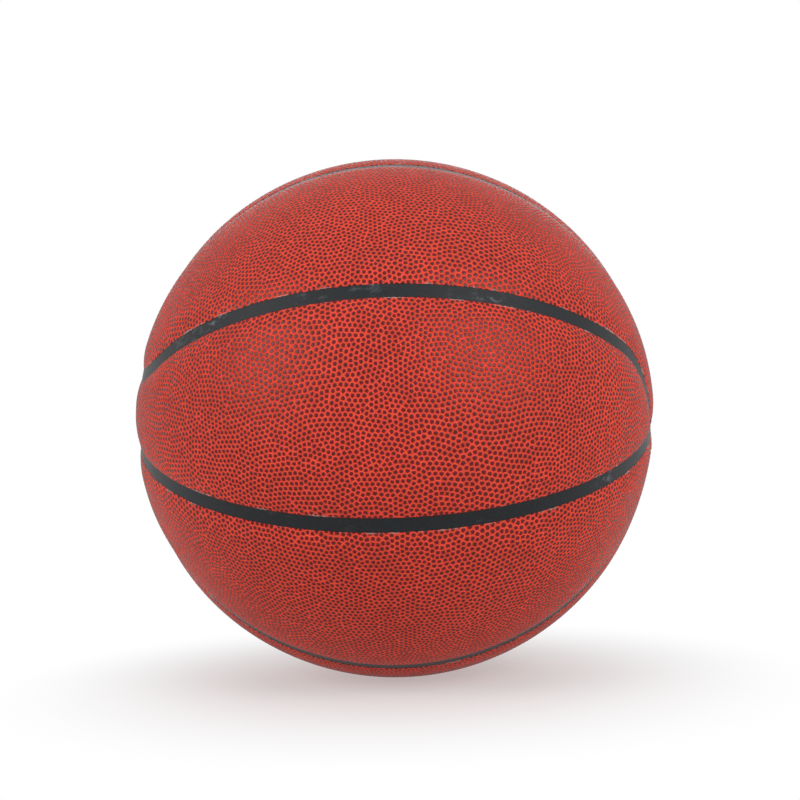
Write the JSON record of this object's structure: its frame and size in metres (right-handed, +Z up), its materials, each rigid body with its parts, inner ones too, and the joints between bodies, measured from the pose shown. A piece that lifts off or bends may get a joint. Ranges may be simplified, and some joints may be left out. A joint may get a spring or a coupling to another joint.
{
  "type": "basketball",
  "caption": "Inflated basketball with pebbled cover panels set between black rubber channels, on a wound carcass with a bladder and a needle valve.",
  "frame": {"origin": "centre of the ball", "axes": "+X to the right-hand crossing of the great seams as the front is seen, -Y through the front panel, +Y out of the valve, +Z up"},
  "size_m": [0.2402, 0.2419, 0.242],
  "materials": {
    "cover": "pebbled composite leather, dark pebble tops over an orange-red ground",
    "foam": "soft closed-cell foam",
    "carcass_rubber": "smooth satin black rubber",
    "thread": "wound nylon thread",
    "bladder_rubber": "dull butyl rubber",
    "valve_rubber": "moulded black rubber",
    "plug_rubber": "soft dark rubber"
  },
  "bodies": {
    "root": {"panel_front": "cover", "panel_front_upper": "cover", "panel_top": "cover", "panel_back_upper": "cover", "panel_back": "cover", "panel_back_lower": "cover", "panel_bottom": "cover", "panel_front_lower": "cover", "pad_front": "foam", "pad_front_upper": "foam", "pad_top": "foam", "pad_back_upper": "foam", "pad_back": "foam", "pad_back_lower": "foam", "pad_bottom": "foam", "pad_front_lower": "foam", "carcass": "carcass_rubber", "winding": "thread", "bladder": "bladder_rubber", "valve_body": "valve_rubber", "valve_plug": "plug_rubber"}
  },
  "joints": []
}
